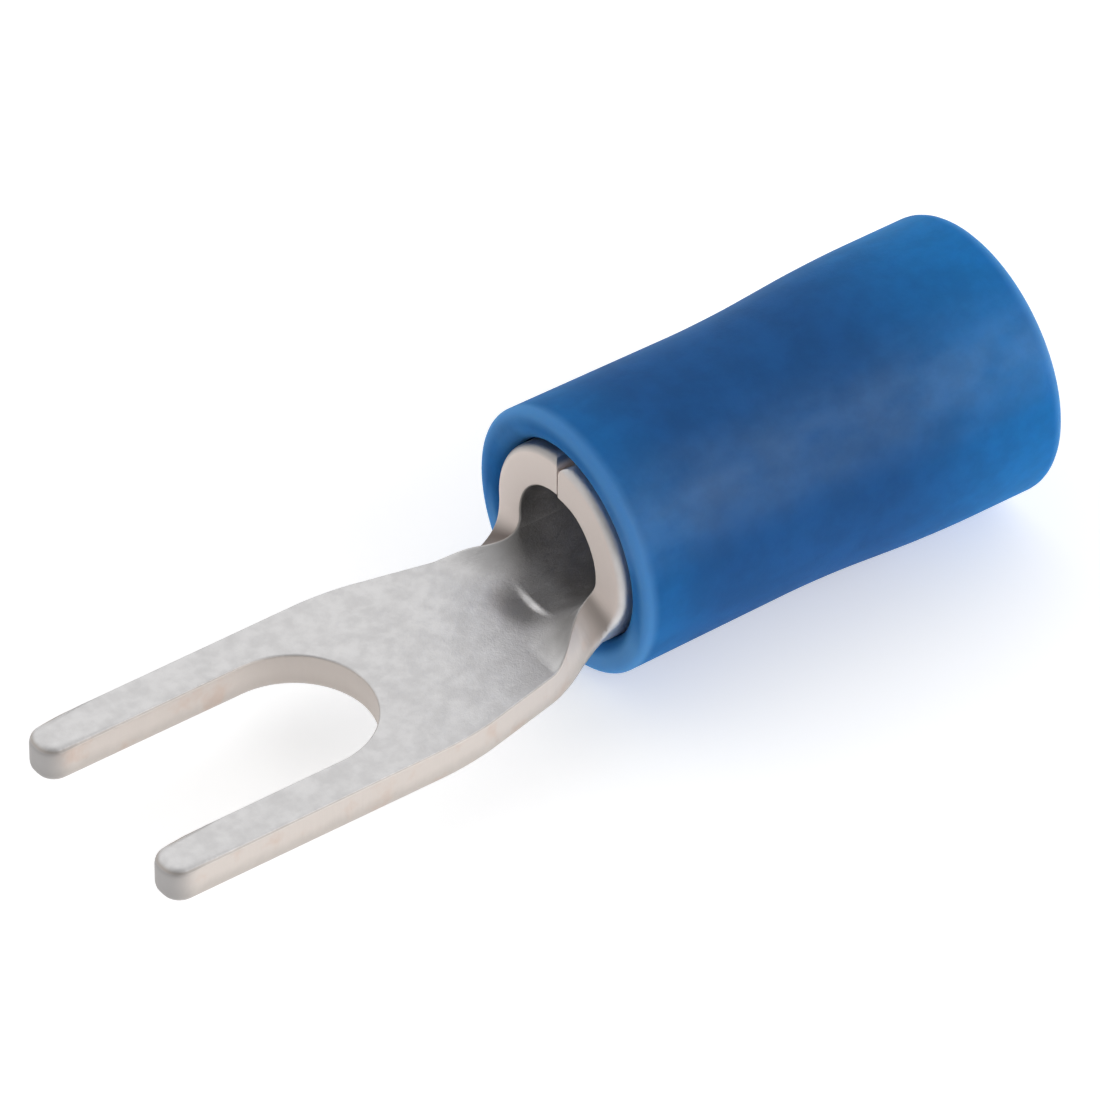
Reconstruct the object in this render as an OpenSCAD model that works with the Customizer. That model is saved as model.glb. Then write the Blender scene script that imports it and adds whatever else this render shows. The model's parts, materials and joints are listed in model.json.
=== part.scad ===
// Fork terminal with an insulating sleeve, for a wire of about 2 square millimetres and an M3 screw.
// The terminal is one sheet of tinned copper: a flat fork, a neck that curls up and a rolled barrel.
// The sleeve is soft plastic, pressed over the barrel, and guides the wire in from behind.
// Origin: the centre of the slot's round root, on the underside of the tongue.
// X runs from the screw to the wire, Y across the tongue and Z up from the seat.

/* [Sheet] */
// Thickness of the copper sheet
sheet_t = 0.8; // [0.6:0.05:1]

/* [Fork tongue] */
// Width of the slot, clear of an M3 screw
slot_w = 3.2; // [2.8:0.1:4]
// Width of each prong
prong_w = 0.9; // [0.8:0.05:1.4]
// From the screw's axis to the prong tips
prong_l = 4.4; // [3:0.1:6]
// Rounding of the prong tips' corners
tip_r = 0.4; // [0.1:0.05:0.4]
// From the screw's axis to the shoulders, where the tongue starts to narrow
shoulder_x = 2.35; // [2:0.05:3]

/* [Neck] */
// From the shoulders to the front of the barrel
neck_l = 3.68; // [3:0.02:5]
// Width of the flat blank where the neck runs into the barrel
neck_w = 3.3; // [2.6:0.1:3.6]
// Rounding in the blank's corner between the neck and the barrel
neck_r = 0.75; // [0.3:0.05:0.9]
// Length of the neck over which the flat sheet curls up into the barrel
forming_l = 1.5; // [1.4:0.1:2]
// Drop from the tongue to the floor of the barrel
joggle = 0.14; // [0:0.02:0.3]
// Distance of the pressed crease from the front of the barrel
crease_x = 0.5; // [0.4:0.05:0.8]
// Height of the crease above the dip in front of it
crease_h = 0.07; // [0:0.01:0.1]
// Length of the crease across the neck
crease_l = 1.8; // [0.8:0.1:2]

/* [Barrel] */
// Bore for the bare wire
bore_d = 2.4; // [2:0.1:3]
// Length of the barrel
barrel_l = 4.8; // [4:0.1:5.4]
// Slit left between the sheet's edges along the seam
seam_gap = 0.04; // [0.02:0.01:0.1]
// Width of the groove that the edges' rounding leaves outside the seam
groove_w = 0.28; // [0.12:0.02:0.3]
// Depth of that groove
groove_d = 0.3; // [0.1:0.02:0.4]

/* [Sleeve] */
// Length of the sleeve
sleeve_l = 9.7; // [9:0.05:11]
// How far the barrel stands out of the sleeve's front
proud = 0.12; // [0:0.02:0.3]
// Wall over the barrel, at the front
sleeve_wall = 0.68; // [0.5:0.02:0.9]
// Clearance between the barrel and the sleeve
fit = 0.02; // [0.01:0.01:0.05]
// How much the outside draws in from the front to the waist
waist = 0.05; // [0:0.01:0.1]
// Length of the front part, up to the waist, where the outside starts to widen
plain_l = 4.6; // [3.5:0.1:5]
// Length over which the outside widens
flare_l = 2.6; // [1.5:0.1:3.5]
// Bore of the wire entry, for the wire with its insulation
entry_d = 4.3; // [3.8:0.1:5]
// Length of the wire entry, up to the funnel
entry_l = 2.6; // [2:0.1:3]
// Wall round the wire entry
entry_wall = 0.69; // [0.6:0.01:1]
// Clearance of the funnel's throat round the barrel's bore
throat_clear = 0.05; // [0:0.01:0.1]
// Rounding of the front edge
front_r = 0.15; // [0.1:0.05:0.3]
// Rounding of the rear edge
rear_r = 0.3; // [0.1:0.05:0.35]
// Chamfer inside the rear edge
lead_in = 0.15; // [0.05:0.05:0.2]

/* [Hidden] */
$fn = 96;
// Steps of the curled neck, along it and across it
STEPS_ALONG = 28;
STEPS_ACROSS = 24;
// How far a cut runs past the solid that it cuts
PAST = 1;
// At the barrel, the neck's flat facets stay this far inside the barrel's round wall
FACET_ROOM = 0.015;
TIN = [0.80, 0.79, 0.79];
BLUE = [0.13, 0.36, 0.65];

tongue_w = slot_w + 2 * prong_w;
bore_r = bore_d / 2;
barrel_r = bore_r + sheet_t;
// Radius of the rolled sheet's middle layer
roll_r = bore_r + sheet_t / 2;
barrel_x = shoulder_x + neck_l;
axis_z = sheet_t - joggle + bore_r;
// Change of the blank's half width for each millimetre of the neck
draw_in = (tongue_w - neck_w) / 2 / neck_l;
forming_x = barrel_x - forming_l;
// Steep face of the crease, and the longer dip in front of it
crease_run = 0.12;
dip_run = 0.7;
sleeve_x = barrel_x + proud;
seat_l = barrel_l - proud;
seat_r = barrel_r + fit;
front_or = seat_r + sleeve_wall;
entry_r = entry_d / 2;
rear_or = entry_r + entry_wall;
throat_r = bore_r + throat_clear;

// Smooth rise from 0 to 1 as s goes from 0 to 1
function rise(s) = let (c = min(max(s, 0), 1)) c * c * (3 - 2 * c);

// The neck is worked out on the flat blank, at a distance d in front of the barrel and u from the middle.

// Half width of the blank: a straight taper that rounds out into the barrel's front edge
function corner(d) = d < neck_r ? neck_r - sqrt(neck_r ^ 2 - (neck_r - d) ^ 2) : 0;
function half_width(d) = neck_w / 2 + draw_in * d + corner(d);

// Share of the full roll that the sheet has reached
function rolled(d) = rise(1 - d / forming_l);

// Height of the sheet's middle layer along the floor: down to the barrel, with a dip before the crease
function crease_share(u) = 1 - rise(abs(u) / (crease_l / 2));
function crease_dip(d, u) =
    crease_h * crease_share(u) *
    (rise((crease_x + crease_run + dip_run - d) / dip_run) - rise((crease_x + crease_run - d) / crease_run));
function floor_z(d, u) = sheet_t / 2 - joggle * rolled(d) - crease_dip(d, u);

// A point on one face of the curled sheet: side is 1 on the inside of the roll and -1 on the outside
function curled(d, u, side) =
    let (bend = rolled(d) / roll_r)
    let (angle = bend * u * 180 / PI)
    let (off = side * (sheet_t / 2 - FACET_ROOM * rolled(d)))
    bend == 0
        ? [barrel_x - d, u, floor_z(d, u) + off]
        : [
            barrel_x - d,
            sin(angle) / bend - off * sin(angle),
            floor_z(d, u) + (1 - cos(angle)) / bend + off * cos(angle)
        ];

// Rounds off the corner at the origin of an outline that lies in the first quadrant
module round_corner(r) {
    difference() {
        translate([-PAST, -PAST]) square(r + PAST);
        translate([r, r]) circle(r);
    }
}

// The fork's flat blank, up to where the neck starts to curl
module tongue() {
    tip_x = -prong_l;
    end_y = half_width(forming_l);
    linear_extrude(sheet_t) difference() {
        polygon([
            [tip_x, -tongue_w / 2],
            [shoulder_x, -tongue_w / 2],
            [forming_x, -end_y],
            [forming_x, end_y],
            [shoulder_x, tongue_w / 2],
            [tip_x, tongue_w / 2]
        ]);
        circle(d = slot_w);
        translate([tip_x - PAST, -slot_w / 2]) square([prong_l + PAST, slot_w]);
        for (side = [-1, 1]) scale([1, side]) {
            translate([tip_x, tongue_w / 2]) mirror([0, 1]) round_corner(tip_r);
            translate([tip_x, slot_w / 2]) round_corner(tip_r);
        }
    }
}

// The curled part of the neck: rows of points across the sheet, inside first and then outside
module neck() {
    row = 2 * (STEPS_ACROSS + 1);
    points = [
        for (i = [0:STEPS_ALONG])
            let (d = forming_l * (1 - sin(90 * i / STEPS_ALONG)))
            for (side = [1, -1], j = [0:STEPS_ACROSS])
                curled(d, half_width(d) * (2 * j / STEPS_ACROSS - 1), side)
    ];
    // Corners of one cell, in the order that shows its face from outside
    function inside(i, j) = i * row + j;
    function outside(i, j) = inside(i, j) + STEPS_ACROSS + 1;
    function halves(a, b, c, d) = [[a, b, c], [a, c, d]];
    cells = [
        for (i = [0:STEPS_ALONG - 1], j = [0:STEPS_ACROSS - 1]) each [
            each halves(inside(i, j), inside(i, j + 1), inside(i + 1, j + 1), inside(i + 1, j)),
            each halves(outside(i, j), outside(i + 1, j), outside(i + 1, j + 1), outside(i, j + 1))
        ]
    ];
    last = STEPS_ACROSS;
    edges = [
        for (i = [0:STEPS_ALONG - 1]) each [
            each halves(inside(i, 0), inside(i + 1, 0), outside(i + 1, 0), outside(i, 0)),
            each halves(inside(i, last), outside(i, last), outside(i + 1, last), inside(i + 1, last))
        ]
    ];
    end = STEPS_ALONG;
    ends = [
        for (j = [0:STEPS_ACROSS - 1]) each [
            each halves(inside(0, j), outside(0, j), outside(0, j + 1), inside(0, j + 1)),
            each halves(inside(end, j), inside(end, j + 1), outside(end, j + 1), outside(end, j))
        ]
    ];
    polyhedron(points, [each cells, each edges, each ends]);
}

// The rolled barrel, with the slit and groove of its seam along the top
module barrel() {
    groove_end = groove_w / 2 * (groove_d + PAST) / groove_d;
    translate([barrel_x, 0, axis_z]) rotate([90, 0, 90]) linear_extrude(barrel_l) difference() {
        circle(barrel_r);
        circle(bore_r);
        translate([-seam_gap / 2, 0]) square([seam_gap, barrel_r + PAST]);
        polygon([[0, barrel_r - groove_d], [groove_end, barrel_r + PAST], [-groove_end, barrel_r + PAST]]);
    }
}

module terminal() color(TIN) {
    tongue();
    neck();
    barrel();
}

// Outer outline of the sleeve, as radius against length
module sleeve_outside() {
    difference() {
        polygon([
            [0, 0],
            [front_or, 0],
            [front_or - waist, plain_l],
            [rear_or, plain_l + flare_l],
            [rear_or, sleeve_l],
            [0, sleeve_l]
        ]);
        translate([front_or, 0]) mirror([1, 0]) round_corner(front_r);
        translate([rear_or, sleeve_l]) rotate(180) round_corner(rear_r);
    }
}

// Seat for the barrel, the shoulder behind it, the funnel and the wire entry
module sleeve_inside() {
    polygon([
        [0, -PAST],
        [seat_r, -PAST],
        [seat_r, seat_l],
        [throat_r, seat_l],
        [entry_r, sleeve_l - entry_l],
        [entry_r, sleeve_l - lead_in],
        [entry_r + lead_in + PAST, sleeve_l + PAST],
        [0, sleeve_l + PAST]
    ]);
}

// The outline is turned about the barrel's axis, starting from the top
module sleeve() color(BLUE) {
    translate([sleeve_x, 0, axis_z]) rotate([0, 90, 0]) rotate(180) rotate_extrude() difference() {
        sleeve_outside();
        sleeve_inside();
    }
}

terminal();
sleeve();
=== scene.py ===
import json
import math

import bmesh
import bpy
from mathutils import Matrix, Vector


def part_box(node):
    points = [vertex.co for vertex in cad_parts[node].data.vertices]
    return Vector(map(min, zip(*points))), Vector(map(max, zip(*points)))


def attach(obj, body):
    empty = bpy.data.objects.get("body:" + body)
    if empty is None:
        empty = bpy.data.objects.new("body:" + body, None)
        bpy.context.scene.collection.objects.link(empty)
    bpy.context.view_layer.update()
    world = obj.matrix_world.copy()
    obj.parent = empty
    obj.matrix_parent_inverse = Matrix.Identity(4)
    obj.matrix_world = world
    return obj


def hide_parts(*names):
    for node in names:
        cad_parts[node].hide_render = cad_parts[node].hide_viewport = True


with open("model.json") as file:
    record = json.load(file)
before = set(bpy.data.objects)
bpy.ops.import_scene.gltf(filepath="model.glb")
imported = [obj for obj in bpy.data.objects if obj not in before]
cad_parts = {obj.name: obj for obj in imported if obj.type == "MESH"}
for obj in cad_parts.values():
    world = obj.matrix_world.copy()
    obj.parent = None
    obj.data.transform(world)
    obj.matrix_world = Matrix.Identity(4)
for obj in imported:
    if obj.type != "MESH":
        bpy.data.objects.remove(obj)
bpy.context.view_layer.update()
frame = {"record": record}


# The terminal: a fork for the screw, a neck and a round barrel for the wire, all one piece of copper sheet.
# It is stamped flat, curled up over the neck, rolled into the barrel with a butt seam on top, and tinned.
# Here the blank is drawn flat in millimetres, then rolled, and brought to metres when it is finished.

MM = 0.001
# Places that are closer than this, in millimetres, are the same place
NEAR = 0.001

mounts = {mount["name"]: mount for mount in frame["record"]["mounts"]}
slot_r = mounts["stud_slot"]["dims"]["r_mm"]
sheet_t = mounts["stud_slot"]["dims"]["length_mm"]
bore_r = mounts["wire_barrel"]["dims"]["r_mm"]
barrel_l = mounts["wire_barrel"]["dims"]["length_mm"]
axis_z = mounts["wire_barrel"]["pos_m"][2] / MM

terminal_low, terminal_high = (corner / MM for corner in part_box("terminal"))
tip_x = terminal_low.x
tongue_w = 2 * terminal_high.y
barrel_x = terminal_high.x - barrel_l
joggle = -terminal_low.z
shoulder_x = 2.35
shoulder_round = 0.6
tip_r = 0.4
neck_w = 3.3
neck_r = 0.75
seam_gap = 0.04
roll_r = bore_r + sheet_t / 2
strip_half = math.pi * roll_r - seam_gap / 2
rim_round_top = 0.05
rim_round_under = 0.2

# The neck curls up over its forming length, with a dip and then a steep crease across its floor
forming_l = 1.5
forming_x = barrel_x - forming_l
crease_x = 0.5
crease_h = 0.07
crease_l = 1.8
crease_run = 0.12
dip_run = 0.7

# One edge of the seam sits a little lower than the other
seam_step = 0.05
seam_step_run = 0.9

# The flat blank is cut this finely before it is rolled, along the neck and round the barrel
cut_along = 0.05
cut_round = 0.1


def select_where(piece, kind, test):
    """Selects, in edit mode, those of the piece's vertices, edges or faces that pass the test."""
    bpy.ops.mesh.select_mode(type=kind)
    bpy.ops.mesh.select_all(action="DESELECT")
    mesh = bmesh.from_edit_mesh(piece.data)
    for part in {"VERT": mesh.verts, "EDGE": mesh.edges, "FACE": mesh.faces}[kind]:
        if test(part):
            part.select_set(True)
    mesh.select_flush_mode()
    bmesh.update_edit_mesh(piece.data)


def extrude(x=0.0, y=0.0, z=0.0):
    """Extrudes what is selected and moves the new part."""
    bpy.ops.mesh.extrude_region_move(TRANSFORM_OT_translate={"value": (x, y, z)})


def upright_at(x, half_width):
    """A test for the sheet's upright edges at one place along it and one distance from its middle."""
    def test(edge):
        low, high = sorted((v.co for v in edge.verts), key=lambda co: co.z)
        return (
            high.z - low.z > sheet_t / 2
            and abs(low.x - x) < NEAR
            and abs(abs(low.y) - half_width) < NEAR
        )
    return test


# The tongue, still without its slot
bpy.ops.object.select_all(action="DESELECT")
bpy.ops.mesh.primitive_plane_add(size=1, location=(0, 0, 0))
terminal = bpy.context.object
terminal.name = "stamped_terminal"
bpy.ops.object.mode_set(mode="EDIT")
bpy.ops.transform.resize(value=(shoulder_x - tip_x, tongue_w, 1), center_override=(0, 0, 0))
bpy.ops.transform.translate(value=((shoulder_x + tip_x) / 2, 0, 0))

# The neck narrows behind the shoulders, and the strip for the barrel spreads to both sides of it
select_where(terminal, "EDGE", lambda edge: all(v.co.x > shoulder_x - NEAR for v in edge.verts))
extrude(x=barrel_x - shoulder_x)
bpy.ops.transform.resize(value=(1, neck_w / tongue_w, 1), center_override=(barrel_x, 0, 0))
extrude(x=barrel_l)
for side in (-1, 1):
    select_where(
        terminal, "EDGE",
        lambda edge: all(
            v.co.x > barrel_x - NEAR and side * v.co.y > neck_w / 2 - NEAR for v in edge.verts))
    extrude(y=side * (strip_half - neck_w / 2))
bpy.ops.mesh.select_all(action="SELECT")
bpy.ops.mesh.dissolve_faces()
select_where(
    terminal, "VERT",
    lambda v: abs(v.co.x - barrel_x) < NEAR and abs(abs(v.co.y) - neck_w / 2) < NEAR)
bpy.ops.mesh.bevel(offset=neck_r, offset_type="ABSOLUTE", affect="VERTICES", segments=14)
bpy.ops.mesh.select_all(action="SELECT")
extrude(z=sheet_t)
bpy.ops.mesh.select_all(action="SELECT")
bpy.ops.mesh.normals_make_consistent(inside=False)
bpy.ops.object.mode_set(mode="OBJECT")

# The punch for the slot: a round root with straight sides that run out past the tips
punch_depth = 3 * sheet_t
punch_reach = 2 * tip_x
bpy.ops.object.select_all(action="DESELECT")
bpy.ops.mesh.primitive_cylinder_add(vertices=96, radius=slot_r, depth=punch_depth)
punch = bpy.context.object
bpy.ops.object.mode_set(mode="EDIT")
select_where(punch, "FACE", lambda face: face.normal.x < -NEAR)
extrude(x=punch_reach)
bpy.ops.object.mode_set(mode="OBJECT")

bpy.ops.object.select_all(action="DESELECT")
bpy.context.view_layer.objects.active = terminal
terminal.select_set(True)
slot_cut = terminal.modifiers.new("slot_cut", "BOOLEAN")
slot_cut.object = punch
slot_cut.operation = "DIFFERENCE"
slot_cut.solver = "EXACT"
bpy.ops.object.modifier_apply(modifier=slot_cut.name)
bpy.data.objects.remove(punch)

bpy.ops.object.mode_set(mode="EDIT")
for prong_side in (slot_r, tongue_w / 2):
    select_where(terminal, "EDGE", upright_at(tip_x, prong_side))
    bpy.ops.mesh.bevel(offset=tip_r, offset_type="OFFSET", affect="EDGES", segments=8)
select_where(terminal, "EDGE", upright_at(shoulder_x, tongue_w / 2))
bpy.ops.mesh.bevel(offset=shoulder_round, offset_type="OFFSET", affect="EDGES", segments=6)
bpy.ops.object.mode_set(mode="OBJECT")

# The rims are rounded more underneath, and at the tips on both faces, which tumbling wore
rim = terminal.data.attributes.new("bevel_weight_edge", "FLOAT", "EDGE")
for edge in terminal.data.edges:
    first, second = (terminal.data.vertices[i].co for i in edge.vertices)
    on_top = min(first.z, second.z) > sheet_t - NEAR
    on_tip = max(first.x, second.x) < tip_x + tip_r + NEAR
    if on_top and not on_tip:
        rim.data[edge.index].value = rim_round_top / rim_round_under
    elif on_top or max(first.z, second.z) < NEAR:
        rim.data[edge.index].value = 1
rounding = terminal.modifiers.new("rim_rounding", "BEVEL")
rounding.width = rim_round_under
rounding.segments = 4
rounding.limit_method = "WEIGHT"
rounding.use_clamp_overlap = False
bpy.ops.object.modifier_apply(modifier=rounding.name)


def cut_sheet(place, axis, test):
    """Cuts the faces that pass the test along a plane across X or Y."""
    select_where(terminal, "FACE", test)
    normal = [1 if axis == name else 0 for name in "xyz"]
    bpy.ops.mesh.bisect(plane_co=[place * n for n in normal], plane_no=normal, threshold=NEAR / 10)


def behind_forming(face):
    return face.calc_center_median().x > forming_x - NEAR


bpy.ops.object.mode_set(mode="EDIT")
cut_sheet(forming_x, "x", lambda face: True)
strips = math.floor(strip_half / cut_round)
for k in range(-strips, strips + 1):
    cut_sheet(k * cut_round, "y", behind_forming)
for k in range(1, round(forming_l / cut_along)):
    cut_sheet(forming_x + k * cut_along, "x", behind_forming)
bpy.ops.mesh.select_all(action="SELECT")
bpy.ops.mesh.remove_doubles(threshold=NEAR / 10)
bpy.ops.mesh.normals_make_consistent(inside=False)
bpy.ops.object.mode_set(mode="OBJECT")


def rise(s):
    """Smooth rise from 0 to 1 as s goes from 0 to 1."""
    s = min(max(s, 0), 1)
    return s * s * (3 - 2 * s)


def crease_dip(d, u):
    """Depth of the sheet in front of the crease, a distance d before the barrel and u from the middle."""
    share = 1 - rise(abs(u) / (crease_l / 2))
    down = rise((crease_x + crease_run + dip_run - d) / dip_run)
    up = rise((crease_x + crease_run - d) / crease_run)
    return crease_h * share * (down - up)


def rolled_place(flat):
    """Where a point of the flat blank lies once the sheet is rolled."""
    d = barrel_x - flat.x
    share = rise(1 - d / forming_l)
    middle_z = sheet_t / 2 - joggle * share - crease_dip(d, flat.y)
    off = flat.z - sheet_t / 2
    if share == 0:
        return Vector((flat.x, flat.y, middle_z + off))
    bend = share / roll_r
    angle = bend * flat.y
    off += seam_step * rise((seam_step_run - strip_half - flat.y) / seam_step_run)
    return Vector((
        flat.x,
        math.sin(angle) / bend - off * math.sin(angle),
        middle_z + (1 - math.cos(angle)) / bend + off * math.cos(angle),
    ))


# The finish follows the flat sheet, so each point keeps its place on the blank and its share of sheared
# rim, which grows as the upright part of its normal falls from that of a flat face to that of a rim
flat_upright = 0.9
rim_upright = 0.4
terminal.data.attributes.new("blank", "FLOAT_VECTOR", "POINT")
terminal.data.attributes.new("sheared", "FLOAT", "POINT")
blank = terminal.data.attributes["blank"].data
sheared = terminal.data.attributes["sheared"].data
flat_normals = [v.normal.copy() for v in terminal.data.vertices]
for vertex, normal in zip(terminal.data.vertices, flat_normals):
    blank[vertex.index].vector = vertex.co
    sheared[vertex.index].value = rise((flat_upright - abs(normal.z)) / (flat_upright - rim_upright))
    vertex.co = rolled_place(vertex.co)

SMOOTH_BELOW = math.radians(40)


def finish_mesh(piece):
    """Brings a piece from millimetres to metres and shades it smooth, with flat faces kept flat."""
    bpy.ops.object.select_all(action="DESELECT")
    bpy.context.view_layer.objects.active = piece
    piece.select_set(True)
    bpy.ops.object.mode_set(mode="EDIT")
    bpy.ops.mesh.select_all(action="SELECT")
    bpy.ops.transform.resize(value=(MM, MM, MM), center_override=(0, 0, 0))
    bpy.ops.object.mode_set(mode="OBJECT")
    bpy.ops.object.shade_smooth_by_angle(angle=SMOOTH_BELOW)
    normals = piece.modifiers.new("weighted_normals", "WEIGHTED_NORMAL")
    normals.keep_sharp = True
    bpy.ops.object.modifier_apply(modifier=normals.name)


finish_mesh(terminal)
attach(terminal, "root")
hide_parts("terminal")


def set_inputs(tree, node, inputs):
    """Sets a node's inputs. An input that is given another node's output is linked to it."""
    for name, value in inputs.items():
        if isinstance(value, bpy.types.NodeSocket):
            tree.links.new(value, node.inputs[name])
        else:
            node.inputs[name].default_value = value


def add_node(tree, kind, inputs, **settings):
    """Adds a node to a tree, with its inputs and settings."""
    made = tree.nodes.new(kind)
    for name, value in settings.items():
        setattr(made, name, value)
    set_inputs(tree, made, inputs)
    return made


def mix_colours(tree, share, first, second):
    """Mixes two colours, each a socket or a plain colour."""
    return add_node(tree, "ShaderNodeMix", {0: share, 6: first, 7: second}, data_type="RGBA").outputs[2]


def mix_values(tree, share, first, second):
    """Mixes two values, each a socket or a plain number."""
    return add_node(tree, "ShaderNodeMix", {0: share, 2: first, 3: second}, data_type="FLOAT").outputs[0]


def layered(tree, colour, *layers):
    """Lays other colours over the first, in order. Each layer is the share that shows, and its colour."""
    for share, over in layers:
        colour = mix_colours(tree, share, colour, over)
    return colour


def math_node(tree, operation, first, second):
    return add_node(tree, "ShaderNodeMath", {0: first, 1: second}, operation=operation).outputs[0]


def product(tree, first, *others):
    """Multiplies values, each a socket or a plain number."""
    for other in others:
        first = math_node(tree, "MULTIPLY", first, other)
    return first


def ramp(tree, value, start, end):
    """0 up to the start, 1 past the end and smooth between. The end may be lower than the start."""
    made = add_node(
        tree, "ShaderNodeMapRange", {"Value": value, "From Min": start, "From Max": end},
        interpolation_type="SMOOTHSTEP")
    return made.outputs["Result"]


def noise(tree, place, scale, detail, roughness=0.5):
    made = add_node(
        tree, "ShaderNodeTexNoise",
        {"Vector": place, "Scale": scale, "Detail": detail, "Roughness": roughness})
    return made.outputs[0]


def rescaled(tree, place, scale, shift=(0, 0, 0)):
    """A place, scaled along each axis and then shifted."""
    made = add_node(tree, "ShaderNodeMapping", {"Vector": place, "Scale": scale, "Location": shift})
    return made.outputs["Vector"]


def split(tree, place):
    """The X, Y and Z of a place."""
    return add_node(tree, "ShaderNodeSeparateXYZ", {"Vector": place}).outputs


def length(tree, vector):
    return add_node(tree, "ShaderNodeVectorMath", {0: vector}, operation="LENGTH").outputs["Value"]


def mottle_group():
    """Soft clouds and a fine grain, for any surface that isn't quite even; the place is in millimetres."""
    group = bpy.data.node_groups.new("mottle", "ShaderNodeTree")
    group.interface.new_socket("Place", in_out="INPUT", socket_type="NodeSocketVector")
    group.interface.new_socket("Clouds per mm", in_out="INPUT", socket_type="NodeSocketFloat")
    group.interface.new_socket("Grains per mm", in_out="INPUT", socket_type="NodeSocketFloat")
    group.interface.new_socket("Cloud", in_out="OUTPUT", socket_type="NodeSocketFloat")
    group.interface.new_socket("Grain", in_out="OUTPUT", socket_type="NodeSocketFloat")
    given = group.nodes.new("NodeGroupInput").outputs
    clouds = noise(group, given["Place"], given["Clouds per mm"], detail=4.0, roughness=0.6)
    grains = noise(group, given["Place"], given["Grains per mm"], detail=3.0, roughness=0.7)
    add_node(group, "NodeGroupOutput", {"Cloud": ramp(group, clouds, start=0.3, end=0.7), "Grain": grains})
    return group


mottle_nodes = mottle_group()


def mottle(tree, place, clouds, grains):
    """The cloud and the grain of the shared group, at so many to the millimetre."""
    made = add_node(
        tree, "ShaderNodeGroup", {"Place": place, "Clouds per mm": clouds, "Grains per mm": grains},
        node_tree=mottle_nodes)
    return made.outputs["Cloud"], made.outputs["Grain"]


def bump(tree, height, strength):
    """The normal of a fine relief."""
    relief_depth = 0.02 * MM
    made = add_node(
        tree, "ShaderNodeBump", {"Height": height, "Strength": strength, "Distance": relief_depth})
    return made.outputs["Normal"]


def new_material(name):
    """A material with only its Principled shader, which is returned with the node tree."""
    material = bpy.data.materials.new(name)
    material.use_nodes = True
    return material, material.node_tree, material.node_tree.nodes["Principled BSDF"]


tin, tree, shader = new_material("tin_plating")
flat_place = add_node(tree, "ShaderNodeAttribute", {}, attribute_name="blank").outputs["Vector"]
rim_share = add_node(tree, "ShaderNodeAttribute", {}, attribute_name="sheared").outputs["Fac"]
along, across, depth = split(tree, flat_place)
cloud, grain = mottle(tree, flat_place, clouds=3.0, grains=18.0)


def patch(comes_in, goes_out, sideways):
    """A soft patch of the sheet: where it comes in and goes out along it, and where it comes in across it.

    The places along the sheet count from the barrel's front, and those across it from the middle.
    """
    return product(
        tree,
        ramp(tree, along, barrel_x + comes_in[0], barrel_x + comes_in[1]),
        ramp(tree, along, barrel_x + goes_out[1], barrel_x + goes_out[0]),
        ramp(tree, across, *sideways))


# The flat faces are matt and mottled, with painted shade inside the barrel and where the press curled the
# sheet up
tin_light = (0.73, 0.72, 0.72, 1)
tin_dull = (0.67, 0.66, 0.66, 1)
tin_bore_shade = (0.60, 0.585, 0.58, 1)
tin_curl_shade = (0.36, 0.35, 0.345, 1)
dull_rough = 0.52
light_rough = 0.42
bore_shade_l = 0.3
near_curl_shade = patch(comes_in=(-1.6, -0.8), goes_out=(-0.6, -0.2), sideways=(-0.6, -1.5))
far_curl_shade = patch(comes_in=(-0.7, -0.1), goes_out=(0.1, 0.7), sideways=(0.7, 1.7))
flat_colour = layered(
    tree, tin_dull,
    (cloud, tin_light),
    (ramp(tree, along, barrel_x, barrel_x + bore_shade_l), tin_bore_shade),
    (math_node(tree, "MAXIMUM", near_curl_shade, far_curl_shade), tin_curl_shade))
flat_rough = mix_values(tree, cloud, dull_rough, light_rough)

# The sheared rims are warmer: torn and dull low on the sheet, burnished above, along a line that wavers
torn = (0.655, 0.610, 0.575, 1)
burnished = (0.735, 0.680, 0.640, 1)
torn_rough = 0.70
burnished_rough = 0.62
torn_h = 0.2 * sheet_t
burnished_h = 0.6 * sheet_t
waver = 0.08
wavering = mix_values(tree, cloud, -waver / 2, waver / 2)
punched = ramp(tree, math_node(tree, "ADD", depth, wavering), torn_h, burnished_h)

# Copper shows through in spots, and the rims are darker and warmer in the slot's root and darker and greyer
# at the tips
bare_copper = (0.64, 0.42, 0.31, 1)
bare_share = 0.3
root_rim_tone = (0.63, 0.58, 0.545, 1)
root_tone_from = 0.4
root_tone_full = 0.1
tip_rim_tone = (0.45, 0.435, 0.43, 1)
tip_tone_l = 0.6
plating = noise(tree, flat_place, scale=1.6, detail=3.0, roughness=0.55)
bare_spots = product(tree, ramp(tree, plating, start=0.5, end=0.75), bare_share)
on_plan = rescaled(tree, flat_place, (1, 1, 0))
from_slot_middle = length(tree, on_plan)
slot_root = product(
    tree,
    ramp(tree, from_slot_middle, slot_r + root_tone_from, slot_r + root_tone_full),
    ramp(tree, along, start=-0.6, end=0.9))
tip_tone = ramp(tree, along, tip_x + tip_tone_l, tip_x)
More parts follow.
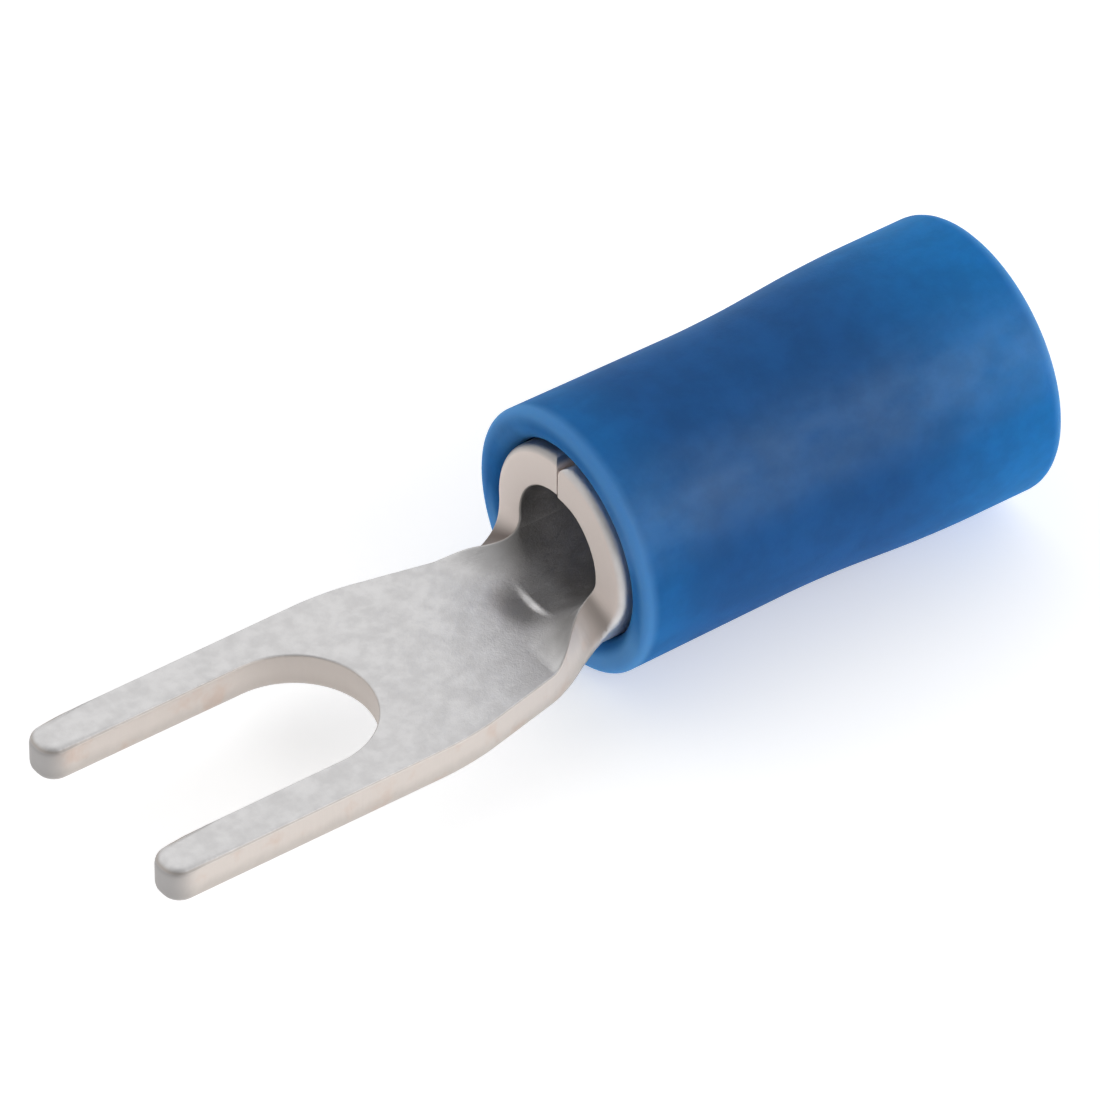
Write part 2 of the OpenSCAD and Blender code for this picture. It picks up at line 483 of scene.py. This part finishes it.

# By the sleeve the rims get painted light, and the corners where the neck runs into the barrel get painted
# shade
painted_light_by_sleeve = (0.84, 0.77, 0.73, 1)
by_sleeve_rough = 0.8
painted_light_from = 0.7
painted_light_full = 0.1
far_corner_shade = (0.26, 0.22, 0.20, 1)
near_corner_shade = (0.50, 0.45, 0.42, 1)
by_sleeve = ramp(tree, along, barrel_x - painted_light_from, barrel_x - painted_light_full)
far_corner = patch(comes_in=(-1.3, -0.7), goes_out=(-0.3, 0.0), sideways=(1.2, 1.7))
near_corner = patch(comes_in=(-0.45, -0.15), goes_out=(-0.15, 0.0), sideways=(-1.2, -1.7))
rim_colour = layered(
    tree, torn,
    (punched, burnished),
    (bare_spots, bare_copper),
    (slot_root, root_rim_tone),
    (by_sleeve, painted_light_by_sleeve),
    (far_corner, far_corner_shade),
    (near_corner, near_corner_shade),
    (tip_tone, tip_rim_tone))
rim_rough = mix_values(
    tree, by_sleeve, mix_values(tree, punched, torn_rough, burnished_rough), by_sleeve_rough)

# A painted shade line runs along the upper rim, and the punch left upright streaks on the sheared rims
rim_line_shade = (0.50, 0.465, 0.44, 1)
rim_line = product(
    tree,
    ramp(tree, rim_share, start=0.05, end=0.4),
    ramp(tree, rim_share, start=0.95, end=0.6),
    punched,
    math_node(tree, "SUBTRACT", 1, slot_root))
drawn_upright = (1, 1, 0.08)
streaks = noise(tree, rescaled(tree, flat_place, drawn_upright), scale=9.0, detail=3.0)
set_inputs(tree, shader, {
    "Base Color": layered(tree, flat_colour, (rim_share, rim_colour), (rim_line, rim_line_shade)),
    "Roughness": mix_values(tree, rim_share, flat_rough, rim_rough),
    "Normal": bump(tree, mix_values(tree, rim_share, grain, streaks), strength=0.35),
    "Metallic": 1.0,
})
terminal.data.materials.append(tin)


# The sleeve: an insulating tube of soft blue plastic, moulded in one piece and pressed over the barrel.
# Its front is plain, its rear is slightly wider for the wire's insulation, and a funnel inside it guides
# the strands into the barrel.

entry_r = mounts["wire_entry"]["dims"]["r_mm"]
entry_depth = mounts["wire_entry"]["dims"]["length_mm"]
sleeve_low, sleeve_high = (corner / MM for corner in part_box("sleeve"))
sleeve_l = sleeve_high.x - sleeve_low.x
rear_r = (sleeve_high.z - sleeve_low.z) / 2
fit = 0.02
seat_r = bore_r + sheet_t + fit
seat_l = terminal_high.x - sleeve_low.x
front_wall = 0.68
front_r = seat_r + front_wall
throat_clear = 0.05
throat_r = bore_r + throat_clear
plain_l = 4.6
waist = 0.05
flare_l = 2.6
lead_in = 0.15
front_round = 0.15
rear_round = 0.3
flare_round = 0.8
mouth_round = 0.06
front_mouth_round = 0.32

# Each turn of the wall, as its distance behind the front, its radius and its rounding
wall = [
    (0, seat_r, front_mouth_round),
    (0, front_r, front_round),
    (plain_l, front_r - waist, flare_round),
    (plain_l + flare_l, rear_r, flare_round),
    (sleeve_l, rear_r, rear_round),
    (sleeve_l, entry_r + lead_in, mouth_round),
    (sleeve_l - lead_in, entry_r, mouth_round),
    (sleeve_l - lead_in - entry_depth, entry_r, mouth_round),
    (seat_l, throat_r, mouth_round),
    (seat_l, seat_r, 0),
]

bpy.ops.object.select_all(action="DESELECT")
bpy.ops.mesh.primitive_circle_add(vertices=144, radius=seat_r, rotation=(0, math.pi / 2, 0))
sleeve = bpy.context.object
sleeve.name = "moulded_sleeve"
bpy.ops.object.transform_apply(location=True, rotation=True, scale=True)
bpy.ops.object.mode_set(mode="EDIT")
bpy.ops.mesh.select_mode(type="EDGE")
bpy.ops.mesh.select_all(action="SELECT")
bpy.ops.transform.translate(value=(sleeve_low.x, 0, axis_z))
for (x_before, r_before, _), (x, r, _) in zip(wall, wall[1:]):
    extrude(x=x - x_before)
    bpy.ops.transform.resize(
        value=(1, r / r_before, r / r_before), center_override=(sleeve_low.x + x, 0, axis_z))


def on_turn(edge, x, r):
    """True for an edge that runs round the sleeve at one turn of its wall."""
    return all(
        abs(v.co.x - sleeve_low.x - x) < NEAR and abs(math.hypot(v.co.y, v.co.z - axis_z) - r) < NEAR
        for v in edge.verts)


select_where(sleeve, "EDGE", lambda edge: on_turn(edge, *wall[0][:2]) or on_turn(edge, *wall[-1][:2]))
bpy.ops.mesh.bridge_edge_loops()
bpy.ops.mesh.select_all(action="SELECT")
bpy.ops.mesh.remove_doubles(threshold=NEAR / 10)
bpy.ops.mesh.normals_make_consistent(inside=False)
for x, r, amount in wall:
    if amount:
        select_where(sleeve, "EDGE", lambda edge: on_turn(edge, x, r))
        bpy.ops.mesh.bevel(offset=amount, offset_type="OFFSET", affect="EDGES", segments=6)
bpy.ops.object.mode_set(mode="OBJECT")
finish_mesh(sleeve)
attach(sleeve, "root")
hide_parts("sleeve")

plastic, tree, shader = new_material("blue_sleeve_plastic")
place = rescaled(
    tree, add_node(tree, "ShaderNodeTexCoord", {}).outputs["Object"], (1 / MM, 1 / MM, 1 / MM))
along, across, _ = split(tree, place)
from_axis = rescaled(tree, place, (0, 1, 1), shift=(0, 0, -axis_z))
radius = length(tree, from_axis)
upwards = math_node(tree, "DIVIDE", split(tree, from_axis)["Z"], radius)
cloud, grain = mottle(tree, place, clouds=1.4, grains=14.0)

# The plastic looks darker over the barrel, and lighter round the hollow wire entry and at the bare front
blue_middle = (0.008, 0.085, 0.272, 1)
blue_end = (0.0055, 0.162, 0.460, 1)
hollow_from = terminal_high.x + 0.7
hollow_full = sleeve_high.x - 0.25
bare_from = sleeve_low.x + 2
bare_full = sleeve_low.x + 0.2
bare_front_share = 0.5
hollow_rear = ramp(tree, along, hollow_from, hollow_full)
bare_front = product(tree, ramp(tree, along, bare_from, bare_full), bare_front_share)

# A faint pale painted sheen lies along both shoulders, and handling polished the near one
painted_sheen = (0.36, 0.68, 1.00, 1)
painted_sheen_share = 0.08
moulded_rough = 0.85
rubbed_rough = 0.43
drawn_long = (0.5, 1, 1)
shoulder = product(
    tree,
    ramp(tree, upwards, start=0.17, end=0.62),
    ramp(tree, upwards, start=1.0, end=0.68))
scuffs_and_sheen_streaks = noise(tree, rescaled(tree, place, drawn_long), scale=1.6, detail=5.0)
rubbed_and_sheen = product(tree, shoulder, ramp(tree, scuffs_and_sheen_streaks, start=-0.1, end=0.8))
polished = product(tree, rubbed_and_sheen, ramp(tree, across, start=0.4, end=-0.4))

# The colour is a little cloudy, and takes the painted sheen on the shoulders
cloud_depth = 0.09
body_colour = add_node(tree, "ShaderNodeHueSaturation", {
    "Color": layered(
        tree, blue_middle,
        (math_node(tree, "MAXIMUM", hollow_rear, bare_front), blue_end),
        (product(tree, rubbed_and_sheen, painted_sheen_share), painted_sheen)),
    "Value": mix_values(tree, cloud, 1 - cloud_depth, 1 + cloud_depth),
}).outputs["Color"]

# Painted light: the thin rims at both ends, and the front face low down, are painted a paler blue for the
# light that comes through them and up from the table
rim_light_blue = (0.080, 0.270, 0.570, 1)
rim_reach = 0.35
mouth_shade = 0.1
front_end = ramp(tree, along, sleeve_low.x + rim_reach, sleeve_low.x)
rear_end = ramp(tree, along, sleeve_high.x - rim_reach, sleeve_high.x)
outside = ramp(tree, radius, front_r - rim_reach, front_r)
low_face = product(
    tree,
    ramp(tree, radius, seat_r + mouth_shade, seat_r + rim_reach),
    ramp(tree, upwards, start=0.0, end=-0.5))
rim_light_share = math_node(
    tree, "MAXIMUM",
    product(tree, front_end, math_node(tree, "MAXIMUM", outside, low_face)),
    product(tree, rear_end, outside))

set_inputs(tree, shader, {
    "Base Color": mix_colours(tree, rim_light_share, body_colour, rim_light_blue),
    "Roughness": mix_values(tree, polished, moulded_rough, rubbed_rough),
    "Normal": bump(tree, grain, strength=0.25),
    "IOR": 1.33,
    "Subsurface Weight": 0.6,
    "Subsurface Radius": (0.3, 0.6, 1.0),
    "Subsurface Scale": 0.6 * MM,
})
sleeve.data.materials.append(plastic)


# The floor: a plain white table top with a matt face, which the sleeve lies on.
# It glows a little, so that it stays white round the object.

table_size = 4
bpy.ops.object.select_all(action="DESELECT")
bpy.ops.mesh.primitive_plane_add(size=table_size, location=(0, 0, sleeve_low.z * MM))
table_top = bpy.context.object
table_top.name = "table_top"
white, tree, shader = new_material("pale_table")
set_inputs(tree, shader, {
    "Base Color": (0.9, 0.9, 0.9, 1),
    "Roughness": 0.9,
    "Emission Color": (1, 1, 1, 1),
    "Emission Strength": 0.40,
})
table_top.data.materials.append(white)


# The light: a white tent, whose walls fade towards the horizon and whose ceiling is a little dimmer.
# Its opening, on the camera's side, is darker, and one large soft lamp stands to the right of it.

wall_light = 1.06
horizon_light = 0.36
ceiling_light = 0.9
opening_share = 0.35
opening_middle = (-0.44, -0.61, 0.66)

world = bpy.data.worlds.new("white_tent")
bpy.context.scene.world = world
world.use_nodes = True
tree = world.node_tree
direction = add_node(tree, "ShaderNodeTexCoord", {}).outputs["Generated"]
height = split(tree, direction)["Z"]
tent_light = mix_values(tree, ramp(tree, height, start=0.0, end=0.45), horizon_light, wall_light)
tent_light = mix_values(tree, ramp(tree, height, start=0.6, end=0.95), tent_light, ceiling_light)
towards_opening = add_node(
    tree, "ShaderNodeVectorMath", {0: direction, 1: opening_middle},
    operation="DOT_PRODUCT").outputs["Value"]
light_left = mix_values(tree, ramp(tree, towards_opening, start=0.35, end=0.9), 1, opening_share)
set_inputs(tree, tree.nodes["Background"], {
    "Color": (1, 1, 1, 1),
    "Strength": product(tree, tent_light, light_left),
})
bpy.context.scene.view_settings.view_transform = "Standard"

lamp_place = Vector((0.22, -0.376, 0.246))
lamp_target = Vector((0.006, 0, 0.001))
side_light = bpy.data.lights.new("side_lamp", "AREA")
side_light.size = 0.30
side_light.energy = 0.65
side_lamp = bpy.data.objects.new("side_lamp", side_light)
bpy.context.scene.collection.objects.link(side_lamp)
side_lamp.location = lamp_place
side_lamp.rotation_euler = (lamp_target - lamp_place).to_track_quat("-Z", "Y").to_euler()


# The camera: a long lens a quarter of a metre off, on the fork's side and well above it.
# Its frame is shifted a little to the right and up, as the photograph's framing needs.

camera_azimuth = math.radians(-35.61)
camera_elevation = math.radians(40.96)
camera_distance = 0.25
aim = Vector((5, 0, 1)) * MM
back = Vector((
    math.sin(camera_azimuth) * math.cos(camera_elevation),
    -math.cos(camera_azimuth) * math.cos(camera_elevation),
    math.sin(camera_elevation),
))
lens = bpy.data.cameras.new("camera")
lens.sensor_width = 36
lens.lens = 438
lens.shift_x = 0.0344
lens.shift_y = 0.0463
camera = bpy.data.objects.new("camera", lens)
bpy.context.scene.collection.objects.link(camera)
camera.location = aim + back * camera_distance
camera.rotation_euler = back.to_track_quat("Z", "Y").to_euler()
bpy.context.scene.camera = camera
